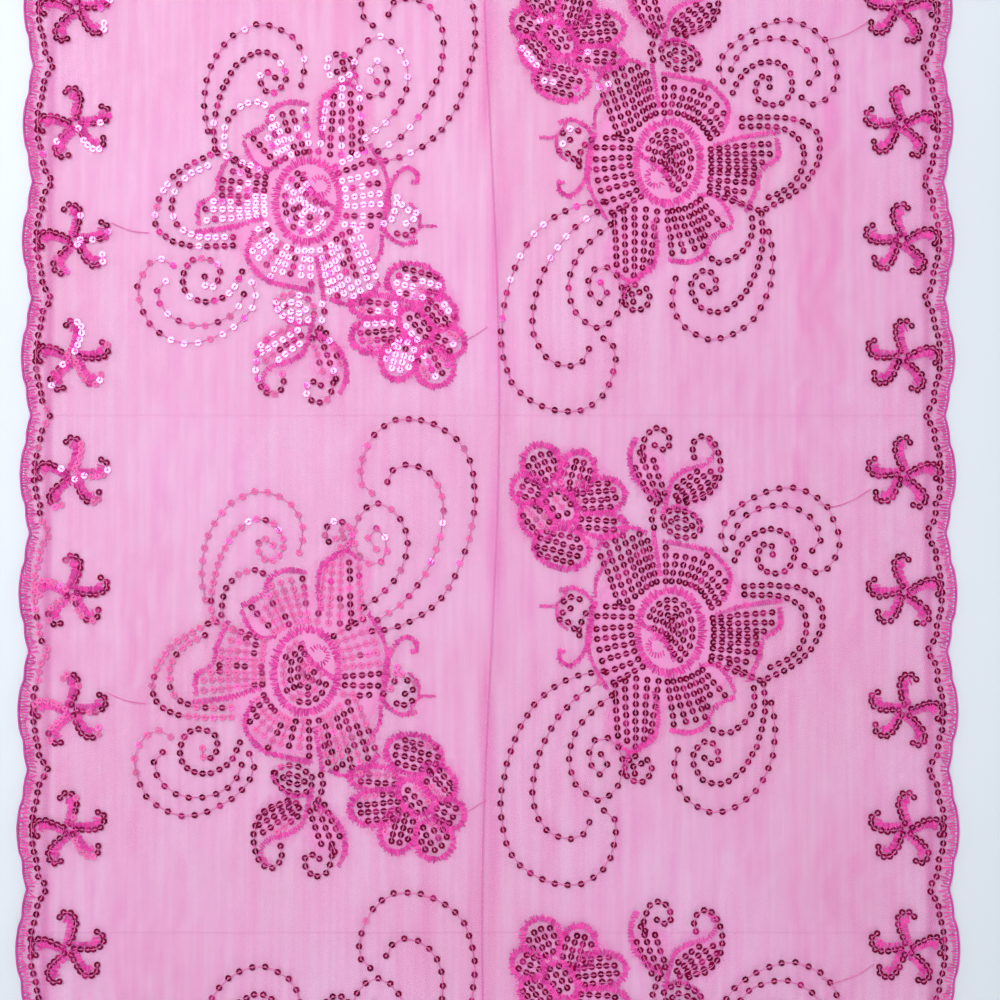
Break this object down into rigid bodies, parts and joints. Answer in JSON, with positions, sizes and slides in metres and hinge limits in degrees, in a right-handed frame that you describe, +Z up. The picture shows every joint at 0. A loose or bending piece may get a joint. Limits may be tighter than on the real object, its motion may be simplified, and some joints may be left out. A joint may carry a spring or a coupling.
{
  "type": "sequinned net shawl",
  "caption": "Long sheer net shawl with scalloped satin-stitched edges, star borders and large sequinned flower sprays, laid out flat.",
  "frame": {"origin": "middle of the flat underside, on the surface that the shawl lies on", "axes": "+Y along the shawl's length, +X across its width, +Z up out of its face"},
  "size_m": [0.5, 1.6, 0.003],
  "materials": {
    "net": "sheer soft pink net with a fine even mesh",
    "satin_thread": "shiny bright pink embroidery thread in close satin stitches",
    "sequins": "translucent crimson cup sequins with a bright shine"
  },
  "bodies": {
    "root": {"net_panel": "net", "edging_left": "satin_thread", "edging_right": "satin_thread", "hem_head": "net", "hem_foot": "net", "spray_right_1": "sequins", "spray_right_2": "sequins", "spray_right_3": "sequins", "spray_right_4": "sequins", "spray_right_5": "sequins", "spray_right_6": "sequins", "spray_left_1": "sequins", "spray_left_2": "sequins", "spray_left_3": "sequins", "spray_left_4": "sequins", "spray_left_5": "sequins", "spray_left_6": "sequins"}
  },
  "joints": []
}
